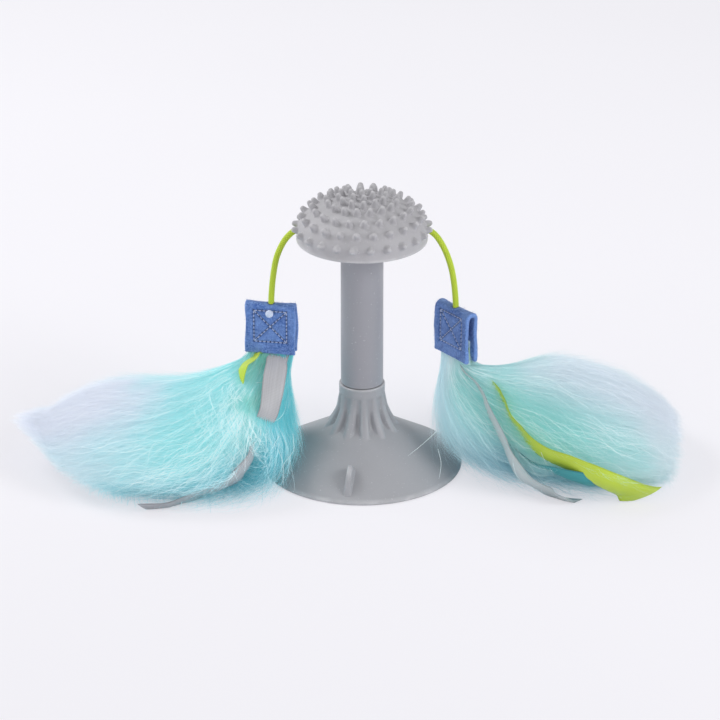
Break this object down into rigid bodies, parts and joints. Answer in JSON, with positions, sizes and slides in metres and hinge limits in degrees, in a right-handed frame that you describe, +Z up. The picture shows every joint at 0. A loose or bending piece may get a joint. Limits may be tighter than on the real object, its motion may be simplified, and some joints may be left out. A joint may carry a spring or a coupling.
{
  "type": "suction cup cat toy",
  "caption": "Cat toy: a suction cup and stem carry a studded mushroom head, which turns and drags a fur tassel on a cord at each side.",
  "frame": {"origin": "centre of the suction cup's sealing ring, on the floor", "axes": "+Z up along the stem, +X to the right tassel, -Y to the front that the picture shows"},
  "size_m": [0.3328, 0.1104, 0.1456],
  "materials": {
    "cup_silicone": "matte",
    "stem_plastic": "satin",
    "head_silicone": "matte",
    "cord_green": "matte",
    "felt_blue": "matte",
    "fur_aqua": "matte",
    "ribbon_green": "satin",
    "ribbon_grey": "satin",
    "ribbon_teal": "satin",
    "thread_pale": "satin"
  },
  "bodies": {
    "base": {"suction_cup": "cup_silicone", "stem": "stem_plastic"},
    "head": {"head_dome": "head_silicone", "head_base": "head_silicone", "left_head_knot": "cord_green", "right_head_knot": "cord_green"},
    "left_cord_body": {"left_cord": "cord_green"},
    "left_knot_body": {"left_pad_knot": "cord_green"},
    "left_tassel": {"left_felt_pad": "felt_blue", "left_plume": "fur_aqua", "left_green_ribbon": "ribbon_green", "left_grey_ribbon": "ribbon_grey", "left_teal_ribbon": "ribbon_teal", "left_thread_knot": "thread_pale"},
    "right_cord_body": {"right_cord": "cord_green"},
    "right_knot_body": {"right_pad_knot": "cord_green"},
    "right_tassel": {"right_felt_pad": "felt_blue", "right_plume": "fur_aqua", "right_green_ribbon": "ribbon_green", "right_grey_ribbon": "ribbon_grey", "right_teal_ribbon": "ribbon_teal"}
  },
  "joints": [
    {"name": "head_turn", "type": "hinge", "parent": "base", "child": "head", "pos_m": [0, 0, 0.12], "axis": [0, 0, 1], "continuous": true},
    {"name": "left_cord_sweep", "type": "hinge", "parent": "head", "child": "left_cord_body", "pos_m": [-0.0316, 0, 0.1246], "axis": [0, 0, 1], "range_deg": [-12, 12], "deforming": ["left_cord"]},
    {"name": "left_tassel_lift", "type": "hinge", "parent": "left_cord_body", "child": "left_knot_body", "pos_m": [-0.0446, 0, 0.0816], "axis": [0, 1, 0], "range_deg": [0, 60], "deforming": ["left_cord"]},
    {"name": "left_tassel_twist", "type": "hinge", "parent": "left_knot_body", "child": "left_tassel", "pos_m": [-0.0446, 0, 0.0816], "axis": [0, 0, 1], "range_deg": [-20, 20]},
    {"name": "right_cord_sweep", "type": "hinge", "parent": "head", "child": "right_cord_body", "pos_m": [0.0316, 0, 0.1246], "axis": [0, 0, 1], "range_deg": [-12, 12], "deforming": ["right_cord"]},
    {"name": "right_tassel_lift", "type": "hinge", "parent": "right_cord_body", "child": "right_knot_body", "pos_m": [0.0462, 0, 0.0796], "axis": [0, -1, 0], "range_deg": [0, 60], "deforming": ["right_cord"]},
    {"name": "right_tassel_twist", "type": "hinge", "parent": "right_knot_body", "child": "right_tassel", "pos_m": [0.0462, 0, 0.0796], "axis": [0, 0, 1], "range_deg": [-20, 20]}
  ]
}
